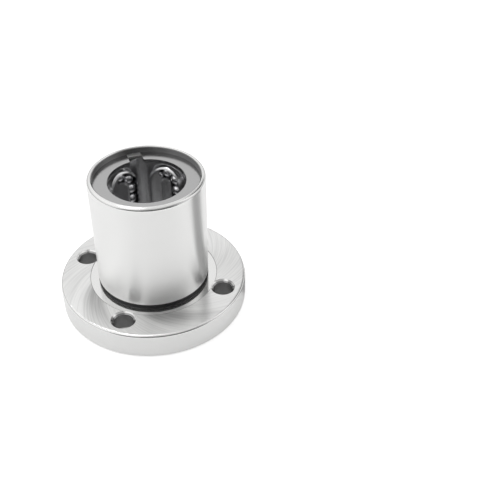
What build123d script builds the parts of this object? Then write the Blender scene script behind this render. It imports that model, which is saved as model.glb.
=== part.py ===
"""Flanged linear ball bearing for a 20 mm shaft, standing on its flange.

A hardened sleeve with a round four-hole flange holds a stamped steel ball retainer with five
oblong circuits of steel balls, and a split ring in a groove at each end keeps the retainer in.
Millimetres, +Z along the shaft, origin at the centre of the flange's outer face.
"""

from build123d import *

import os
from math import acos, cos, degrees, hypot, pi, radians, sin

# Interface sizes
SHAFT_DIA = 20.0
SLEEVE_DIA = 32.0
LENGTH = 42.0
FLANGE_DIA = 54.0
FLANGE_T = 8.0
BOLT_CIRCLE_DIA = 43.0
BOLT_COUNT = 4
BOLT_HOLE_DIA = 5.5
HEAD_RECESS_DIA = 9.5
HEAD_RECESS_DEPTH = 5.1

# Edges and reliefs of the sleeve
FLANGE_ROUND = 0.8
HOLE_CHAMFER = 0.75
END_ROUND = 1.0
MOUTH_CHAMFER = 0.3
NECK_DEPTH = 0.6
NECK_HEIGHT = 1.3
FACE_STEP_DIA = 37.0
FACE_STEP_DEPTH = 0.08

# Balls and circuits
BALL_DIA = 3.175
CIRCUITS = 5
FIRST_CIRCUIT_DEG = 39.5
BALLS_PER_TURN = 3
BALL_SPACING_GAP = 0.075
RACE_PLAY = 0.0125
TURN_LIFT_DEG = 10.0

# Stamped ball retainer
SHEET = 0.3
WALL_FLAT = 12.0
WALL_CORNER_ROUND = 3.0
SHAFT_TO_RETAINER = 0.1
RETURN_PLAY = 0.11
SIDE_PLAY = 0.13
SLOT_WIDTH = 2.75
SLOT_WRAP_DEG = 100.0
SHOULDER_ROUND = 1.0
ISLAND_ROUND = 0.25
ROOT_ROUND = 0.5
TRACK_TO_END = 0.6
RETAINER_TO_SLEEVE = 0.1
RETAINER_END_PLAY = 0.1

# Raceway lands inside the sleeve
LAND_WIDTH = 3.0
LAND_RAMP = 0.7
RELIEF_PLAY = 0.12

# Split end rings and their grooves
RING_T = 1.1
RING_INNER_DIA = 21.3
RING_GAP = 4.0
RING_GAP_DEG = 83.5
RING_RECESS = 1.8
RING_SEAT_DEPTH = 0.5
RING_SEAT_PLAY = 0.03
RING_SIDE_PLAY = 0.04
MOUTH_DIA = 29.2

# Ball chain: both rows of a circuit and the two half-circle turns between them
ball_r = BALL_DIA / 2
shaft_r = SHAFT_DIA / 2
crown_r = shaft_r + SHAFT_TO_RETAINER
load_row_r = shaft_r + ball_r + RACE_PLAY
race_r = load_row_r + ball_r + RACE_PLAY
return_row_r = crown_r + SHEET + RETURN_PLAY + ball_r
turn_r = (BALL_DIA + BALL_SPACING_GAP) / 2 / sin(pi / 2 / BALLS_PER_TURN)
pitch = pi * turn_r / BALLS_PER_TURN
mid_z = LENGTH / 2
circuit_angles = [FIRST_CIRCUIT_DEG + 360 / CIRCUITS * i for i in range(CIRCUITS)]
row_angle = acos(
    (load_row_r**2 + return_row_r**2 - 4 * turn_r**2) / (2 * load_row_r * return_row_r)
) / 2

# Where one circuit lies when its middle faces +X, as (X, Y) points
load_row = Vector(load_row_r * cos(row_angle), -load_row_r * sin(row_angle), 0)
return_row = Vector(return_row_r * cos(row_angle), return_row_r * sin(row_angle), 0)
turn_centre = (load_row + return_row) * 0.5
across = (return_row - load_row).normalized()
outward = across.cross(Vector(0, 0, 1))

# Track outlines around the chain, and as many balls in each run as the retainer's length takes
track_inner = turn_r + ball_r + SIDE_PLAY
track_outer = track_inner + SHEET
island_outer = turn_r - ball_r - SIDE_PLAY
island_inner = island_outer - SHEET
retainer_half = mid_z - RING_RECESS - RING_T - RETAINER_END_PLAY
balls_per_run = int(2 * (retainer_half - track_outer - TRACK_TO_END) / pitch)
run_length = balls_per_run * pitch
half_run = run_length / 2


def turn_point(angle_deg, end):
    """Ball centre in a turn, from the loaded row (0) over the turn (90) to the return row (180)."""
    angle = radians(angle_deg)
    lift = radians(TURN_LIFT_DEG)
    along = Vector(0, 0, end * cos(lift)) + outward * sin(lift)
    centre = turn_centre + Vector(0, 0, mid_z + end * half_run)
    return centre - across * (turn_r * cos(angle)) + along * (turn_r * sin(angle))


def row_points(row):
    """Ball centres of one straight run, half a pitch in from both ends."""
    low = mid_z - half_run + pitch / 2
    return [row + Vector(0, 0, low + pitch * i) for i in range(balls_per_run)]


def turn_points(end):
    """Ball centres of one turn, spread so that both its ends lie midway between two balls."""
    step = 180 / BALLS_PER_TURN
    return [turn_point(step * (i + 0.5), end) for i in range(BALLS_PER_TURN)]


turn_reach_r = max(hypot(point.X, point.Y) for point in turn_points(1))
relief_r = turn_reach_r + ball_r + RELIEF_PLAY
wall_corner_r = relief_r - RETAINER_TO_SLEEVE
ring_seat_r = MOUTH_DIA / 2 + RING_SEAT_DEPTH


def disc(radius, low, high):
    """Solid round disc on the Z axis between two heights."""
    return Pos(0, 0, low) * Cylinder(
        radius, high - low, align=(Align.CENTER, Align.CENTER, Align.MIN)
    )


def tube(outer, inner, low, high):
    """Round tube on the Z axis between two heights."""
    return disc(outer, low, high) - disc(inner, low, high)


def facing_plane(distance):
    """Plane that faces a circuit from the shaft: its X runs around the bore, its Y along +Z."""
    return Plane(origin=(distance, turn_centre.Y, mid_z), x_dir=(0, 1, 0), z_dir=(1, 0, 0))


def track_prism(half_width, near, far):
    """Oblong block over one circuit, with straight sides and half-round ends."""
    outline = SlotCenterToCenter(run_length, 2 * half_width, rotation=90)
    return extrude(facing_plane(near) * outline, far - near)


def edges_at_radius(shape, radius):
    """Edges that bound the shape's round faces of one radius about the Z axis."""
    found = ShapeList()
    for face in shape.faces().filter_by(GeomType.CYLINDER):
        middle = face.position_at(0.5, 0.5)
        if abs(hypot(middle.X, middle.Y) - radius) < 1e-4:
            found += face.edges()
    return found


def root_edges(shape, distance):
    """Edges where the tracks run into the wall's flats, all at one distance from the axis."""
    found = ShapeList()
    for face in shape.faces().filter_by(GeomType.PLANE):
        if abs(abs(face.normal_at().dot(face.center())) - distance) < 1e-4:
            for outline in face.inner_wires():
                found += outline.edges()
    return found


def window_rims(shape):
    """Edges around the island recesses on the side towards the shaft."""
    edges = edges_at_radius(shape, crown_r)
    recess_length = run_length + 2 * island_inner
    return [e for e in edges if e.bounding_box().size.Z <= recess_length + 0.01]


def around(shape):
    """Copies of one circuit's shape, one for each circuit."""
    return [Rot(0, 0, angle) * shape for angle in circuit_angles]


def make_land():
    """Raised raceway strip in the bore behind one loaded row, ramped off at both ends."""
    inner = race_r - 1
    outer = relief_r + 0.5
    ramp = LAND_RAMP / (relief_r - race_r)
    low_reach = half_run - ramp * (race_r - inner)
    high_reach = half_run + ramp * (outer - race_r)
    side = Polyline(
        (inner, mid_z - low_reach),
        (outer, mid_z - high_reach),
        (outer, mid_z + high_reach),
        (inner, mid_z + low_reach),
        close=True,
    )
    strip = extrude(Plane.XZ * make_face(side), LAND_WIDTH / 2, both=True)
    strip &= tube(outer, race_r, 0, LENGTH)
    return Rot(0, 0, -degrees(row_angle)) * strip


def make_sleeve():
    """One-piece sleeve and flange, turned and ground, with its raceway lands and bolt holes."""
    sleeve_r = SLEEVE_DIA / 2
    neck_r = sleeve_r - NECK_DEPTH
    step_z = FLANGE_T - FACE_STEP_DEPTH

    barrel = disc(sleeve_r, 0, LENGTH)
    barrel = fillet(barrel.edges().group_by(Axis.Z)[-1], END_ROUND)
    flange = disc(FLANGE_DIA / 2, 0, FLANGE_T)
    flange = fillet(flange.edges().filter_by(GeomType.CIRCLE), FLANGE_ROUND)
    body = barrel + flange
    body -= tube(FACE_STEP_DIA / 2, neck_r, step_z, FLANGE_T)
    body -= tube(sleeve_r + 1, neck_r, step_z, FLANGE_T + NECK_HEIGHT)

    body -= disc(relief_r, 0, LENGTH)
    for low in (RING_RECESS, LENGTH - RING_RECESS - RING_T - RING_SIDE_PLAY):
        body -= disc(ring_seat_r, low, low + RING_T + RING_SIDE_PLAY)
    mouth_r = MOUTH_DIA / 2
    body -= disc(mouth_r, 0, RING_RECESS)
    body -= disc(mouth_r, LENGTH - RING_RECESS, LENGTH)
    mouth_edges = edges_at_radius(body, mouth_r)
    outer_mouths = mouth_edges.group_by(Axis.Z)[0] + mouth_edges.group_by(Axis.Z)[-1]
    body = chamfer(outer_mouths, MOUTH_CHAMFER)

    for land in around(make_land()):
        body += land
    for place in PolarLocations(BOLT_CIRCLE_DIA / 2, BOLT_COUNT, start_angle=45):
        body -= place * make_bolt_hole()
    return body


def make_bolt_hole():
    """Through hole with a recess for the screw head at the outer face and a chamfer at the other."""
    hole = disc(BOLT_HOLE_DIA / 2, 0, FLANGE_T)
    hole += disc(HEAD_RECESS_DIA / 2, 0, HEAD_RECESS_DEPTH)
    top_r = BOLT_HOLE_DIA / 2 + HOLE_CHAMFER
    cone = Cone(
        BOLT_HOLE_DIA / 2, top_r, HOLE_CHAMFER, align=(Align.CENTER, Align.CENTER, Align.MIN)
    )
    return hole + Pos(0, 0, FLANGE_T - HOLE_CHAMFER) * cone


def make_wall(inset):
    """Round-cornered five-sided block with a flat for each circuit, set in from the outer face."""
    outline = Circle(wall_corner_r - inset)
    beyond = Pos(WALL_FLAT - inset + SLEEVE_DIA / 2, 0) * Rectangle(SLEEVE_DIA, SLEEVE_DIA)
    for i in range(CIRCUITS):
        outline -= Rot(0, 0, 360 / CIRCUITS * i) * beyond
    outline = fillet(outline.vertices(), WALL_CORNER_ROUND - inset)
    block = extrude(outline, retainer_half, both=True)
    return Pos(0, 0, mid_z) * Rot(0, 0, FIRST_CIRCUIT_DEG) * block


def make_bulge():
    """Outer form of one circuit's track, which stands in towards the shaft from the wall."""
    block = track_prism(track_outer, shaft_r / 2, WALL_FLAT) - disc(crown_r, 0, LENGTH)
    return fillet(edges_at_radius(block, crown_r), SHOULDER_ROUND)


def make_channel():
    """Room for the balls inside one bulge, around the island that parts the two rows."""
    under_crown = crown_r + SHEET
    block = track_prism(track_inner, shaft_r / 2, relief_r) - disc(under_crown, 0, LENGTH)
    block = fillet(edges_at_radius(block, under_crown), SHOULDER_ROUND - SHEET)
    return block - track_prism(island_outer, 0, relief_r + 1)


def make_window():
    """Oblong recess in the island, down to the level of the wall's own sheet."""
    return track_prism(island_inner, shaft_r / 2, WALL_FLAT - SHEET)


def make_slot():
    """Slot over the loaded row that follows both turns, through which the balls meet the shaft."""
    bend_r = turn_centre.Y - load_row.Y
    upper = CenterArc((0, half_run), bend_r, 180 - SLOT_WRAP_DEG, SLOT_WRAP_DEG)
    lower = CenterArc((0, -half_run), bend_r, 180, SLOT_WRAP_DEG)
    outline = SlotArc(upper, SLOT_WIDTH) + SlotArc(lower, SLOT_WIDTH)
    outline += Pos(-bend_r, 0) * Rectangle(SLOT_WIDTH, run_length)
    near = shaft_r / 2
    return extrude(facing_plane(near) * outline, crown_r + 2 * SHEET - near)


def make_retainer():
    """Stamped five-sided shell with one inward bulge, island and ball slot for each circuit."""
    shell = make_wall(0) - make_wall(SHEET)
    for bulge in around(make_bulge()):
        shell += bulge
    shell = fillet(root_edges(shell, WALL_FLAT - SHEET), ROOT_ROUND)
    for channel in around(make_channel()):
        shell -= channel
    shell = fillet(root_edges(shell, WALL_FLAT), ROOT_ROUND + SHEET)
    for window in around(make_window()):
        shell -= window
    shell = fillet(window_rims(shell), ISLAND_ROUND)
    for slot in around(make_slot()):
        shell -= slot
    return shell


def make_end_ring(low):
    """Flat ring sprung into its groove, with a square gap cut right through."""
    ring = tube(ring_seat_r - RING_SEAT_PLAY, RING_INNER_DIA / 2, low, low + RING_T)
    gap = Pos(SLEEVE_DIA / 2, 0, low) * Box(
        SLEEVE_DIA, RING_GAP, RING_T, align=(Align.CENTER, Align.CENTER, Align.MIN)
    )
    return ring - Rot(0, 0, RING_GAP_DEG) * gap


def make_balls(points, angle):
    """Separate balls of one group, turned to their circuit's place around the bore."""
    return Compound([Rot(0, 0, angle) * Pos(*point) * Sphere(ball_r) for point in points])


ball_groups = {
    "loaded_balls": row_points(load_row),
    "return_balls": row_points(return_row),
    "upper_turn_balls": turn_points(1),
    "lower_turn_balls": turn_points(-1),
}

pieces = {
    "flanged_sleeve": make_sleeve(),
    "ball_retainer": make_retainer(),
    "flange_end_ring": make_end_ring(RING_RECESS),
    "sleeve_end_ring": make_end_ring(LENGTH - RING_RECESS - RING_T),
}
for group, points in ball_groups.items():
    for number, angle in enumerate(circuit_angles, start=1):
        pieces[f"circuit_{number}_{group}"] = make_balls(points, angle)

os.makedirs("parts", exist_ok=True)
for name, piece in pieces.items():
    export_step(piece, f"parts/{name}.step")
print("pitch", round(pitch, 4), "turn radius", round(turn_r, 4))
print("balls per run", balls_per_run, "relief radius", round(relief_r, 3))
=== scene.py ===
# %% [markdown]
# # A flanged linear ball bearing in a plain studio
# The real object is a ground steel sleeve with a round flange, which slides along a 20 mm shaft on
# five circuits of small steel balls. Its solids come in ready made and at their real size, so this
# lesson is about finishing them: how grinding, turning, stamping and lapping each leave steel with
# its own look, and how to build those looks from nodes.

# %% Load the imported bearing
from math import cos, radians, sin, tan

import bpy
from mathutils import Matrix, Vector

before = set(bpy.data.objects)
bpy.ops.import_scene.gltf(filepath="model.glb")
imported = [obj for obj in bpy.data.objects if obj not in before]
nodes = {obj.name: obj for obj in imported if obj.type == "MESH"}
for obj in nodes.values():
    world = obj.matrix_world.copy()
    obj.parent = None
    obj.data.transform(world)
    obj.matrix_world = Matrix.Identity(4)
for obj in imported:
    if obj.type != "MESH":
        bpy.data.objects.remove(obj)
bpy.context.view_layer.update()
scene = bpy.context.scene
scene.view_settings.view_transform = "Standard"

# %% [markdown]
# ## Camera
# The photograph looks down on the bearing from a little under 40 degrees, turned so that one flange
# hole is in front, one at each side and the fourth is hidden. The eye point, the aim and the lens
# could be set by trial. Solving them from the known flange, sleeve and bolt circle is surer, because
# then every edge falls within a pixel of where the photograph has it.

# %% Place the camera
EYE_MM = Vector((-54.84, -158.70, 150.17))
YAW_DEG = 28.74
PITCH_DEG = 38.81
ROLL_DEG = 1.46
LENS_MM = 53.0
SENSOR_MM = 36.0
MM_PER_M = 1000.0


def camera_turn(yaw, pitch, roll):
    """Rotation whose columns are the camera's right, up and backward directions."""
    ahead = Vector((sin(yaw) * cos(pitch), cos(yaw) * cos(pitch), -sin(pitch)))
    level = Vector((cos(yaw), -sin(yaw), 0))
    upright = level.cross(ahead)
    right = level * cos(roll) + upright * sin(roll)
    up = upright * cos(roll) - level * sin(roll)
    return Matrix((right, up, -ahead)).transposed()


camera_data = bpy.data.cameras.new("photo_camera")
camera_data.lens = LENS_MM
camera_data.sensor_width = SENSOR_MM
camera = bpy.data.objects.new("photo_camera", camera_data)
turn = camera_turn(radians(YAW_DEG), radians(PITCH_DEG), radians(ROLL_DEG))
camera.matrix_world = Matrix.Translation(EYE_MM / MM_PER_M) @ turn.to_4x4()
scene.collection.objects.link(camera)
scene.camera = camera
print("camera distance, mm", round(EYE_MM.length, 1))

# %% [markdown]
# ## Helpers for node trees
# The studio and every finish are node trees. One function turns a written colour into the linear
# values that the shader wants, and one adds a node with its settings and links. The rest are short
# names for nodes that come back often, so that each tree reads from top to bottom like a recipe.

# %% Colour and node helpers
def linear(hex_colour):
    """Linear RGBA from an sRGB hex string."""
    values = [int(hex_colour[i : i + 2], 16) / 255 for i in (1, 3, 5)]
    return (*(v / 12.92 if v <= 0.04045 else ((v + 0.055) / 1.055) ** 2.4 for v in values), 1.0)


def add(tree, kind, inputs=(), **settings):
    """Adds a node, sets its properties, and sets or links its inputs."""
    node = tree.nodes.new(kind)
    for name, value in settings.items():
        setattr(node, name, value)
    for key, value in dict(inputs).items():
        if isinstance(value, bpy.types.NodeSocket):
            tree.links.new(value, node.inputs[key])
        else:
            node.inputs[key].default_value = value
    return node


def calc(tree, operation, a, b=0.0, c=0.0, clamp=False):
    """One Math node's value."""
    node = add(tree, "ShaderNodeMath", {0: a, 1: b, 2: c}, operation=operation, use_clamp=clamp)
    return node.outputs[0]


def times(tree, a, b):
    """The product of two values; of two masks, the place that both cover."""
    return calc(tree, "MULTIPLY", a, b)


def vector_calc(tree, operation, a, b=(0, 0, 0)):
    """One Vector Math node, for its vector or its value."""
    return add(tree, "ShaderNodeVectorMath", {0: a, 1: b}, operation=operation).outputs


def fade(tree, value, start, end, low=0.0, high=1.0):
    """A smooth step from low to high while the value goes from start to end."""
    ends = {"Value": value, "From Min": start, "From Max": end, "To Min": low, "To Max": high}
    return add(tree, "ShaderNodeMapRange", ends, interpolation_type="SMOOTHSTEP").outputs[0]


def blend(tree, factor, first, second, kind="FLOAT"):
    """Goes from first to second as the factor goes from 0 to 1. Kind is FLOAT, or RGBA for colours."""
    slot, result = {"FLOAT": (2, 0), "RGBA": (6, 2)}[kind]
    node = add(tree, "ShaderNodeMix", {0: factor, slot: first, slot + 1: second}, data_type=kind)
    return node.outputs[result]


def near_way(tree, direction, way, half_width, edge):
    """1 within half_width degrees of a way, and 0 from one edge width further out."""
    aligned = vector_calc(tree, "DOT_PRODUCT", direction, way)["Value"]
    return fade(tree, aligned, cos(radians(half_width + edge)), cos(radians(half_width)))


def level_way(yaw_deg):
    """A horizontal way from its compass angle."""
    return Vector((sin(radians(yaw_deg)), cos(radians(yaw_deg)), 0))


def new_tree(name):
    """An empty material and its node tree."""
    material = bpy.data.materials.new(name)
    material.use_nodes = True
    material.node_tree.nodes.clear()
    return material, material.node_tree


print("mid grey, linear", [round(v, 3) for v in linear("#808080")])

# %% [markdown]
# ## Floor and studio
# Small metal parts are photographed in a light tent: white all around, with one or two darker places
# that give the metal its edges. Metal has no look of its own, so this room matters more than the
# lamps. The floor is white card. Seen by the camera it is lifted to pure white, and it still takes
# the soft shadow of the flange. The barrel mirrors this floor, not the tent, so the floor has a
# little gleam of its own in the metal. To the right, just outside the picture, a dark card is painted
# into the floor's colour as a painted reflection. A real sheet would be seen by the camera too, so
# only the metal sees this painted one: it makes the dark upright band on the barrel.

# %% Lay the white floor
FLOOR_SIZE = 2.4
FLOOR_LIFT = 0.55
FLOOR_GLEAM = 0.23
PAPER_COLOUR = "#F4F4F4"
# Painted reflection: a dark card painted into the floor's colour, which only glossy rays see
PAINTED_CARD_COLOUR = "#161616"
PAINTED_CARD_YAW_DEG = 105.0
PAINTED_CARD_HALF_WIDTH_DEG = 9.0
PAINTED_CARD_EDGE_DEG = 7.0
PAINTED_CARD_DEPTH = 0.62
WHITE = (1.0, 1.0, 1.0, 1.0)

floor_mesh = bpy.data.meshes.new("studio_floor")
half = FLOOR_SIZE / 2
corners = [(-half, -half, 0), (half, -half, 0), (half, half, 0), (-half, half, 0)]
floor_mesh.from_pydata(corners, [], [(0, 1, 2, 3)])
floor = bpy.data.objects.new("studio_floor", floor_mesh)
scene.collection.objects.link(floor)

paper, tree = new_tree("white_paper_card")
place = add(tree, "ShaderNodeTexCoord").outputs["Object"]
away = vector_calc(tree, "NORMALIZE", place)["Vector"]
on_painted_card = near_way(tree, away, level_way(PAINTED_CARD_YAW_DEG), PAINTED_CARD_HALF_WIDTH_DEG, PAINTED_CARD_EDGE_DEG)
path = add(tree, "ShaderNodeLightPath")
in_metal = path.outputs["Is Glossy Ray"]
# Glossy rays see the floor's colour turned dark here, a painted reflection and not a real sheet
painted_dark_reflection = times(tree, in_metal, times(tree, on_painted_card, PAINTED_CARD_DEPTH))
paper_and_reflection_colour = blend(tree, painted_dark_reflection, linear(PAPER_COLOUR), linear(PAINTED_CARD_COLOUR), "RGBA")
paper_face = add(tree, "ShaderNodeBsdfDiffuse", {"Color": paper_and_reflection_colour})
gleam = times(tree, calc(tree, "SUBTRACT", in_metal, painted_dark_reflection), FLOOR_GLEAM)
lift = calc(tree, "MULTIPLY_ADD", path.outputs["Is Camera Ray"], FLOOR_LIFT, gleam)
glow = add(tree, "ShaderNodeEmission", {"Color": WHITE, "Strength": lift})
both = add(tree, "ShaderNodeAddShader", {0: paper_face.outputs[0], 1: glow.outputs[0]})
add(tree, "ShaderNodeOutputMaterial", {"Surface": both.outputs[0]})
floor_mesh.materials.append(paper)
print("floor", FLOOR_SIZE, "m square")

# %% [markdown]
# The tent itself is the world. Its brightness follows direction: brightest half way up, a little
# duller at the roof and grey at the horizon, which gives the rim its grey ends. Four places in it
# are darker. One is the roof. One is the opening, a band half way up on the camera's side and
# somewhat to the right, with the dark room behind it. It darkens the mouth's far wall and the foot
# of the barrel. One is a skirt along the horizon below the opening, where the table ends, and it
# draws a dark line along every rounded edge. The last is a patch on the right side, which the
# flange hands on to the right foot of the barrel.

# %% Build the light tent
TENT_TOP = 1.0
TENT_SIDE = 0.55
TENT_FULL_HEIGHT = 0.7
ROOF_START_HEIGHT = 0.75
ROOF_DEPTH = 0.25
OPENING_TURN_DEG = 26.0
OPENING_HALF_WIDTH_DEG = 30.0
OPENING_SIDE_EDGE_DEG = 28.0
OPENING_LOW_DEG = 30.0
OPENING_TOP_DEG = 54.0
OPENING_EDGE_DEG = 12.0
OPENING_DEPTH = 0.60
SKIRT_TOP_DEG = 25.0
SKIRT_EDGE_DEG = 12.0
SKIRT_HALF_WIDTH_DEG = 42.0
SKIRT_SIDE_EDGE_DEG = 20.0
SKIRT_DEPTH = 0.85
SIDE_YAW_DEG = 66.0
SIDE_RISE_DEG = 40.0
SIDE_HALF_WIDTH_DEG = 12.0
SIDE_EDGE_DEG = 10.0
SIDE_DEPTH = 0.85


def vector(tree, x, y, z=0.0):
    """A vector from three values."""
    return add(tree, "ShaderNodeCombineXYZ", {0: x, 1: y, 2: z}).outputs[0]


def rise_fade(tree, height, none_deg, full_deg):
    """0 at one rise in degrees and beyond it, and 1 from the other on."""
    return fade(tree, height, sin(radians(none_deg)), sin(radians(full_deg)))


world = bpy.data.worlds.new("light_tent")
scene.world = world
world.use_nodes = True
tree = world.node_tree
tree.nodes.clear()
direction = add(tree, "ShaderNodeTexCoord").outputs["Generated"]
parts = add(tree, "ShaderNodeSeparateXYZ", {0: direction})

# Heights are those of a dome of radius 1, so each is the sine of a rise
height = parts.outputs["Z"]
tent = fade(tree, height, 0.0, TENT_FULL_HEIGHT, TENT_SIDE, TENT_TOP)
roof = fade(tree, height, ROOF_START_HEIGHT, 1.0)

front = Vector((EYE_MM.x, EYE_MM.y, 0)).normalized()
flat_way = vector(tree, parts.outputs["X"], parts.outputs["Y"])
flat_way = vector_calc(tree, "NORMALIZE", flat_way)["Vector"]
open_way = Matrix.Rotation(radians(OPENING_TURN_DEG), 3, "Z") @ front
opening = near_way(tree, flat_way, open_way, OPENING_HALF_WIDTH_DEG, OPENING_SIDE_EDGE_DEG)
over_low = rise_fade(tree, height, OPENING_LOW_DEG - OPENING_EDGE_DEG, OPENING_LOW_DEG)
under_top = rise_fade(tree, height, OPENING_TOP_DEG + OPENING_EDGE_DEG, OPENING_TOP_DEG)
opening = times(tree, times(tree, opening, over_low), under_top)
in_front = near_way(tree, direction, front, SKIRT_HALF_WIDTH_DEG, SKIRT_SIDE_EDGE_DEG)
under_skirt_top = rise_fade(tree, height, SKIRT_TOP_DEG + SKIRT_EDGE_DEG, SKIRT_TOP_DEG)
skirt = times(tree, in_front, under_skirt_top)
side_rise = Vector((0, 0, tan(radians(SIDE_RISE_DEG))))
side_way = (level_way(SIDE_YAW_DEG) + side_rise).normalized()
side = near_way(tree, direction, side_way, SIDE_HALF_WIDTH_DEG, SIDE_EDGE_DEG)
dark_places = (roof, ROOF_DEPTH), (opening, OPENING_DEPTH), (skirt, SKIRT_DEPTH), (side, SIDE_DEPTH)
for dark_place, depth in dark_places:
    tent = times(tree, tent, calc(tree, "MULTIPLY_ADD", dark_place, -depth, 1.0))
path = add(tree, "ShaderNodeLightPath")
level = calc(tree, "MAXIMUM", tent, path.outputs["Is Camera Ray"])
background = add(tree, "ShaderNodeBackground", {"Color": WHITE, "Strength": level})
add(tree, "ShaderNodeOutputWorld", {"Surface": background.outputs[0]})
print("tent from", TENT_SIDE, "to", TENT_TOP, "with", len(dark_places), "darker places")

# %% [markdown]
# One small lamp above, a little to the left and behind, gives the shadow its side. It puts the
# glints on the balls, and the bright arches where the retainer bulges over each turn of its ball
# track.

# %% Hang the lamp
LAMP_PLACE = Vector((-0.12, 0.10, 0.60))
LAMP_AIM = Vector((0, 0, 0.02))
LAMP_WIDTH = 0.16
LAMP_WATTS = 0.55

lamp_data = bpy.data.lights.new("soft_box", "AREA")
lamp_data.shape = "SQUARE"
lamp_data.size = LAMP_WIDTH
lamp_data.energy = LAMP_WATTS
lamp = bpy.data.objects.new("soft_box", lamp_data)
lamp_turn = (LAMP_AIM - LAMP_PLACE).to_track_quat("-Z", "Y").to_matrix().to_4x4()
lamp.matrix_world = Matrix.Translation(LAMP_PLACE) @ lamp_turn
scene.collection.objects.link(lamp)
print("lamp at", tuple(round(v, 2) for v in LAMP_PLACE))

# %% [markdown]
# ## What all the steels share
# Each of the four steels gets its unevenness from a noise: lines, grains or patches. The same noise
# moves the roughness, can be the height of a very shallow bump, and tints the metal on the flange.
# Using it for all of them keeps a scratch in one place, whichever way it shows.

# %% Helpers for steel
LINE_DEPTH = 0.00003


def noise(tree, noise_place, scale, detail):
    """Fine lines or grains, as a value around 0.5."""
    settings = {"Vector": noise_place, "Scale": scale, "Detail": detail}
    return add(tree, "ShaderNodeTexNoise", settings).outputs["Fac"]


def between(tree, value, low, high):
    """A value from 0 to 1 spread over low to high."""
    return add(tree, "ShaderNodeMapRange", {"Value": value, "To Min": low, "To Max": high}).outputs[0]


def bumpy(tree, lines, strength):
    """The normal of a face with these lines cut into it."""
    cut = {"Height": lines, "Strength": strength, "Distance": LINE_DEPTH}
    return add(tree, "ShaderNodeBump", cut).outputs[0]


def metal(tree, inputs):
    """A metal surface, led to the material's output."""
    surface = add(tree, "ShaderNodeBsdfPrincipled", {"Metallic": 1.0, **inputs})
    add(tree, "ShaderNodeOutputMaterial", {"Surface": surface.outputs[0]})


print("bump distance, mm", LINE_DEPTH * MM_PER_M)

# %% [markdown]
# ## Ground bearing steel
# The sleeve and flange are bearing steel, hardened and then ground. The barrel's wheel leaves fine
# lines that run round it, and they smear a reflection along the axis, so the barrel shows upright
# bands. The flange face is ground by a turning cup wheel, whose arcs cross the face at a slant and
# show as a faint swirl. That could be drawn as grey streaks alone. An anisotropic shader with its
# grain laid along the real lines gives the sheen too, and it stays right from every side. Beside the
# barrel two darker fans are painted into the face's colour: a painted reflection of the barrel's dark
# foot, smeared the way the swirl would smear it.

# %% Draw the grinding lines and the painted reflection fans
STEP_R = 18.5
GRIND_LINE_MM = 0.25
GRIND_LINE_STRETCH = 40
SWIRL_SLANT_DEG = 34.0
SWIRL_LINE_MM = 0.7
SWIRL_MIDDLE_R = 22.0
SWIRL_CHANGE_PER_MM = 0.12
NATURAL_BASE = 2.718282
STREAK_START = 0.35
STREAK_FULL = 0.75
STREAK_DEPTH = 0.2
# Two fans of painted reflection: darker colour on the face beside the barrel
PAINTED_REFLECTION_FANS = ((-62.0, 30.0), (4.0, 28.0))
REFLECTION_FAN_HALF_WIDTH_DEG = 20.0
REFLECTION_FAN_DEPTH = 0.6

steel, tree = new_tree("ground_bearing_steel")
place = add(tree, "ShaderNodeTexCoord").outputs["Object"]
place_mm = add(tree, "ShaderNodeVectorMath", {0: place, "Scale": MM_PER_M}, operation="SCALE").outputs[0]
x_mm, y_mm, z_mm = add(tree, "ShaderNodeSeparateXYZ", {0: place_mm}).outputs
flat = vector(tree, x_mm, y_mm)
radius = vector_calc(tree, "LENGTH", flat)["Value"]
around = calc(tree, "ARCTAN2", y_mm, x_mm)

# Lines round the barrel: the noise is squeezed along the axis
barrel_place = vector(
    tree,
    calc(tree, "DIVIDE", x_mm, GRIND_LINE_STRETCH * GRIND_LINE_MM),
    calc(tree, "DIVIDE", y_mm, GRIND_LINE_STRETCH * GRIND_LINE_MM),
    calc(tree, "DIVIDE", z_mm, GRIND_LINE_MM),
)
barrel_lines = noise(tree, barrel_place, scale=1.0, detail=2.0)

# Swirl on the flange: along a slanting line the angle grows with the logarithm of the radius
slant = 1 / tan(radians(SWIRL_SLANT_DEG))
log_radius = calc(tree, "LOGARITHM", radius, NATURAL_BASE)
wound = calc(tree, "SUBTRACT", around, times(tree, log_radius, slant))
swirl_place = vector(
    tree,
    times(tree, calc(tree, "COSINE", wound), SWIRL_MIDDLE_R / SWIRL_LINE_MM),
    times(tree, calc(tree, "SINE", wound), SWIRL_MIDDLE_R / SWIRL_LINE_MM),
    times(tree, radius, SWIRL_CHANGE_PER_MM),
)
swirl_lines = noise(tree, swirl_place, scale=1.0, detail=4.0)

# Each fan of painted reflection: the turn of its arcs in degrees, and how far out it reaches in mm
streaks_and_painted_reflection = times(tree, fade(tree, swirl_lines, STREAK_START, STREAK_FULL), STREAK_DEPTH)
for reflection_fan_deg, reach_mm in PAINTED_REFLECTION_FANS:
    close = fade(tree, radius, reach_mm, STEP_R)
    aligned = calc(tree, "COSINE", calc(tree, "SUBTRACT", wound, radians(reflection_fan_deg)))
    on_reflection_fan = fade(tree, aligned, cos(radians(REFLECTION_FAN_HALF_WIDTH_DEG)), 1.0)
    streaks_and_painted_reflection = calc(tree, "MULTIPLY_ADD", times(tree, on_reflection_fan, close), REFLECTION_FAN_DEPTH, streaks_and_painted_reflection)
print("grinding lines every", GRIND_LINE_MM, "mm, swirl every", SWIRL_LINE_MM, "mm")

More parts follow.
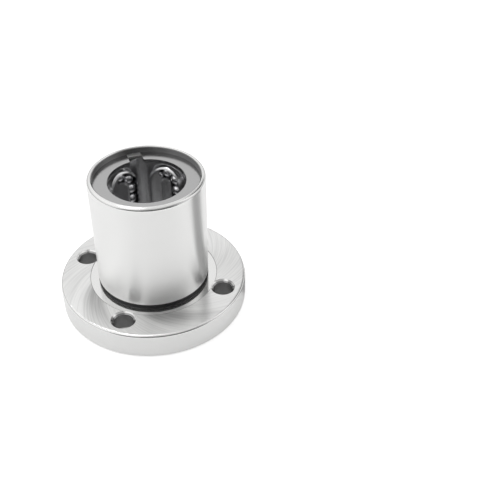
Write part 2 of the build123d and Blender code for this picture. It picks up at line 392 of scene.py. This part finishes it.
# %% [markdown]
# Not every face of the sleeve is ground. The narrow strip inside the face's step is turned and
# polished, so it mirrors the dark neck, and its colour is a little darker as a painted reflection of
# the neck. The rounded edges are brushed bright, so each holds a light line beside a dark one. The
# neck keeps the dull skin of the hardening. The bores and the bolt holes are darker partly for that
# dull skin and partly as painted shade for the dimness inside them. The flange's outer side is a
# little darker as painted shade, for the floor's shadow that it mirrors. The sleeve is one mesh, so
# masks tell these faces apart by their place, and the rounded edges by how far they lean.

# %% Find the faces that are not ground, and the places of painted shade
SLEEVE_R = 16.0
FLANGE_TOP = 8.0
FLANGE_R = 27.0
NECK_LOW = 7.5
NECK_TOP = 9.3
BORE_R = 14.75
BOLT_CIRCLE_R = 21.5
RECESS_R = 4.8
HOLE_WALL_HALF_MM = 3.6
STEP_LINE_HALF_MM = 0.09
SLACK_MM = 0.1
BARREL_SLACK_MM = 0.02
EDGE_LEAN = 0.5
EDGE_LEAN_RANGE = 0.42
# The bores and bolt holes are darker partly for their dull skin and partly as painted shade
BORE_SKIN_AND_SHADE = 0.82
HOLE_SKIN_AND_SHADE = 0.68
STEP_LINE_DULL = 0.6
# Painted reflection of the dark neck: a little darker colour on the polished strip
STRIP_PAINTED_REFLECTION = 0.14
# Painted shade on the flange's outer side, for the floor's shadow that it mirrors
RIM_PAINTED_SHADE = 0.1

near_top = calc(tree, "COMPARE", z_mm, FLANGE_TOP, SLACK_MM)
face = times(tree, near_top, calc(tree, "GREATER_THAN", radius, STEP_R))
off_barrel = times(tree, near_top, calc(tree, "GREATER_THAN", radius, SLEEVE_R + BARREL_SLACK_MM))
strip = times(tree, off_barrel, calc(tree, "LESS_THAN", radius, STEP_R))
below_top = calc(tree, "LESS_THAN", z_mm, NECK_TOP)
in_neck = times(tree, below_top, calc(tree, "GREATER_THAN", z_mm, NECK_LOW))
neck = times(tree, in_neck, calc(tree, "LESS_THAN", radius, SLEEVE_R + BARREL_SLACK_MM))
bore = calc(tree, "LESS_THAN", radius, BORE_R)
step_line = times(tree, near_top, calc(tree, "COMPARE", radius, STEP_R, STEP_LINE_HALF_MM))

# The four holes are alike, so each is looked at as if it were in the first quarter
first_quarter = vector_calc(tree, "ABSOLUTE", flat)["Vector"]
bolt_place = Vector((1, 1, 0)).normalized() * BOLT_CIRCLE_R
from_bolt = vector_calc(tree, "DISTANCE", first_quarter, bolt_place)["Value"]
in_hole = calc(tree, "LESS_THAN", from_bolt, RECESS_R)
hole_wall = times(tree, in_hole, calc(tree, "COMPARE", z_mm, FLANGE_TOP / 2, HOLE_WALL_HALF_MM))

outward = add(tree, "ShaderNodeNewGeometry").outputs["Normal"]
upward = add(tree, "ShaderNodeSeparateXYZ", {0: outward}).outputs["Z"]
rounded = calc(tree, "COMPARE", calc(tree, "ABSOLUTE", upward), EDGE_LEAN, EDGE_LEAN_RANGE)
polished = calc(tree, "MAXIMUM", strip, rounded)
rim = calc(tree, "GREATER_THAN", radius, FLANGE_R - SLACK_MM)

# Darkened places: bores and holes partly dull skin, partly painted shade; strip painted reflection; rim
# painted shade
dull_and_shaded_places = (
    (bore, BORE_SKIN_AND_SHADE),
    (hole_wall, HOLE_SKIN_AND_SHADE),
    (step_line, STEP_LINE_DULL),
    (strip, STRIP_PAINTED_REFLECTION),
    (rim, RIM_PAINTED_SHADE),
)
dull_and_shade = neck
for darkened_place, depth in dull_and_shaded_places:
    dull_and_shade = calc(tree, "MAXIMUM", dull_and_shade, times(tree, darkened_place, depth))
print("dull places beside the neck", len(dull_and_shaded_places))

# %% [markdown]
# With lines and masks ready, the surface is short. Dull places and the places of painted shade and
# painted reflection are darker and rougher, polished places lose the grain, and on the flange face
# the grain turns from level to the slant of the swirl.

# %% Finish the sleeve
GROUND_COLOUR = "#F2F2F1"
# This grey serves both the grinding streaks and the painted reflection fans
STREAK_AND_REFLECTION_COLOUR = "#8C8C8C"
DULL_AND_SHADE_COLOUR = "#6A6A6B"
GROUND_ROUGH = (0.26, 0.36)
DULL_ROUGHER = 0.15
EDGE_ROUGH = 0.17
STRIP_ROUGH = 0.11
BARREL_BUMP = 0.02
FACE_MORE_BUMP = 0.05
GRAIN = 0.85
LEVEL_GRAIN_TURN = 0.25

lines = blend(tree, face, barrel_lines, swirl_lines)
on_face = calc(tree, "MULTIPLY", streaks_and_painted_reflection, face, clamp=True)
ground_and_reflection_tint = blend(tree, on_face, linear(GROUND_COLOUR), linear(STREAK_AND_REFLECTION_COLOUR), "RGBA")
# Dull skin, painted shade and painted reflection all blend the colour towards this darker grey
tint = blend(tree, dull_and_shade, ground_and_reflection_tint, linear(DULL_AND_SHADE_COLOUR), "RGBA")
rough = calc(tree, "MULTIPLY_ADD", dull_and_shade, DULL_ROUGHER, between(tree, lines, *GROUND_ROUGH))
rough = blend(tree, rounded, rough, EDGE_ROUGH)
rough = blend(tree, strip, rough, STRIP_ROUGH)
bump_strength = calc(tree, "MULTIPLY_ADD", face, FACE_MORE_BUMP, BARREL_BUMP)
grain_way = add(tree, "ShaderNodeTangent", direction_type="RADIAL", axis="Z").outputs[0]
face_turn = -SWIRL_SLANT_DEG / 360
metal(
    tree,
    {
        "Base Color": tint,
        "Roughness": rough,
        "Anisotropic": calc(tree, "MULTIPLY_ADD", polished, -GRAIN, GRAIN),
        "Anisotropic Rotation": calc(tree, "MULTIPLY_ADD", face, face_turn, LEVEL_GRAIN_TURN),
        "Normal": bumpy(tree, lines, bump_strength),
        "Tangent": grain_way,
    },
)
print("sleeve finish with", len(tree.nodes), "nodes")

# %% [markdown]
# ## Stamped retainer steel
# The retainer is thin cold-rolled strip, rolled into a drum and stamped. Stamping leaves it bright
# and smooth, with faint drawing lines along the axis.

# %% Finish the retainer
STAMPED_COLOUR = "#E4E4E5"
STAMPED_ROUGH = (0.22, 0.29)
STAMPED_BUMP = 0.02
DRAW_LINE_MM = 0.35
DRAW_LINE_STRETCH = 30

stamped, tree = new_tree("stamped_cold_rolled_steel")
place = add(tree, "ShaderNodeTexCoord").outputs["Object"]
across = MM_PER_M / DRAW_LINE_MM
along = across / DRAW_LINE_STRETCH
stretched = add(tree, "ShaderNodeMapping", {"Vector": place, "Scale": (across, across, along)})
draw_lines = noise(tree, stretched.outputs[0], scale=1.0, detail=2.0)
metal(
    tree,
    {
        "Base Color": linear(STAMPED_COLOUR),
        "Roughness": between(tree, draw_lines, *STAMPED_ROUGH),
        "Normal": bumpy(tree, draw_lines, STAMPED_BUMP),
    },
)
print("drawing lines every", DRAW_LINE_MM, "mm")

# %% [markdown]
# ## Tumbled spring steel
# The end rings are punched from spring steel and tumbled with stones, which leaves them an even
# matt grey with a very fine grain and no direction.

# %% Finish the end rings
TUMBLED_COLOUR = "#B4B4B4"
TUMBLED_ROUGH = (0.16, 0.24)
TUMBLED_BUMP = 0.08
TUMBLE_GRAIN_MM = 0.18

tumbled, tree = new_tree("tumbled_spring_steel")
place = add(tree, "ShaderNodeTexCoord").outputs["Object"]
stone_marks = noise(tree, place, scale=MM_PER_M / TUMBLE_GRAIN_MM, detail=3.0)
metal(
    tree,
    {
        "Base Color": linear(TUMBLED_COLOUR),
        "Roughness": between(tree, stone_marks, *TUMBLED_ROUGH),
        "Normal": bumpy(tree, stone_marks, TUMBLED_BUMP),
    },
)
print("tumbling grain", TUMBLE_GRAIN_MM, "mm")

# %% [markdown]
# ## Lapped ball steel
# Bearing balls are lapped between plates until they are round to about a thousandth of a millimetre
# and shine like mirrors. A trace of oil breaks the mirror up a little.

# %% Finish the balls
LAPPED_COLOUR = "#E6E6E8"
LAPPED_ROUGH = (0.03, 0.12)
OIL_PATCH_MM = 0.6

lapped, tree = new_tree("lapped_ball_steel")
place = add(tree, "ShaderNodeTexCoord").outputs["Object"]
oil = noise(tree, place, scale=MM_PER_M / OIL_PATCH_MM, detail=1.0)
metal(
    tree,
    {"Base Color": linear(LAPPED_COLOUR), "Roughness": between(tree, oil, *LAPPED_ROUGH)},
)
print("oil patches", OIL_PATCH_MM, "mm")

# %% [markdown]
# ## Dress the solids
# The nodes are named for what they are, so the finish follows from the name.

# %% Give each node its finish
finishes = {"flanged_sleeve": steel, "ball_retainer": stamped, "end_ring": tumbled, "balls": lapped}
for name, node in nodes.items():
    finish = next(material for key, material in finishes.items() if key in name)
    node.data.materials.clear()
    node.data.materials.append(finish)
print("dressed", len(nodes), "nodes")
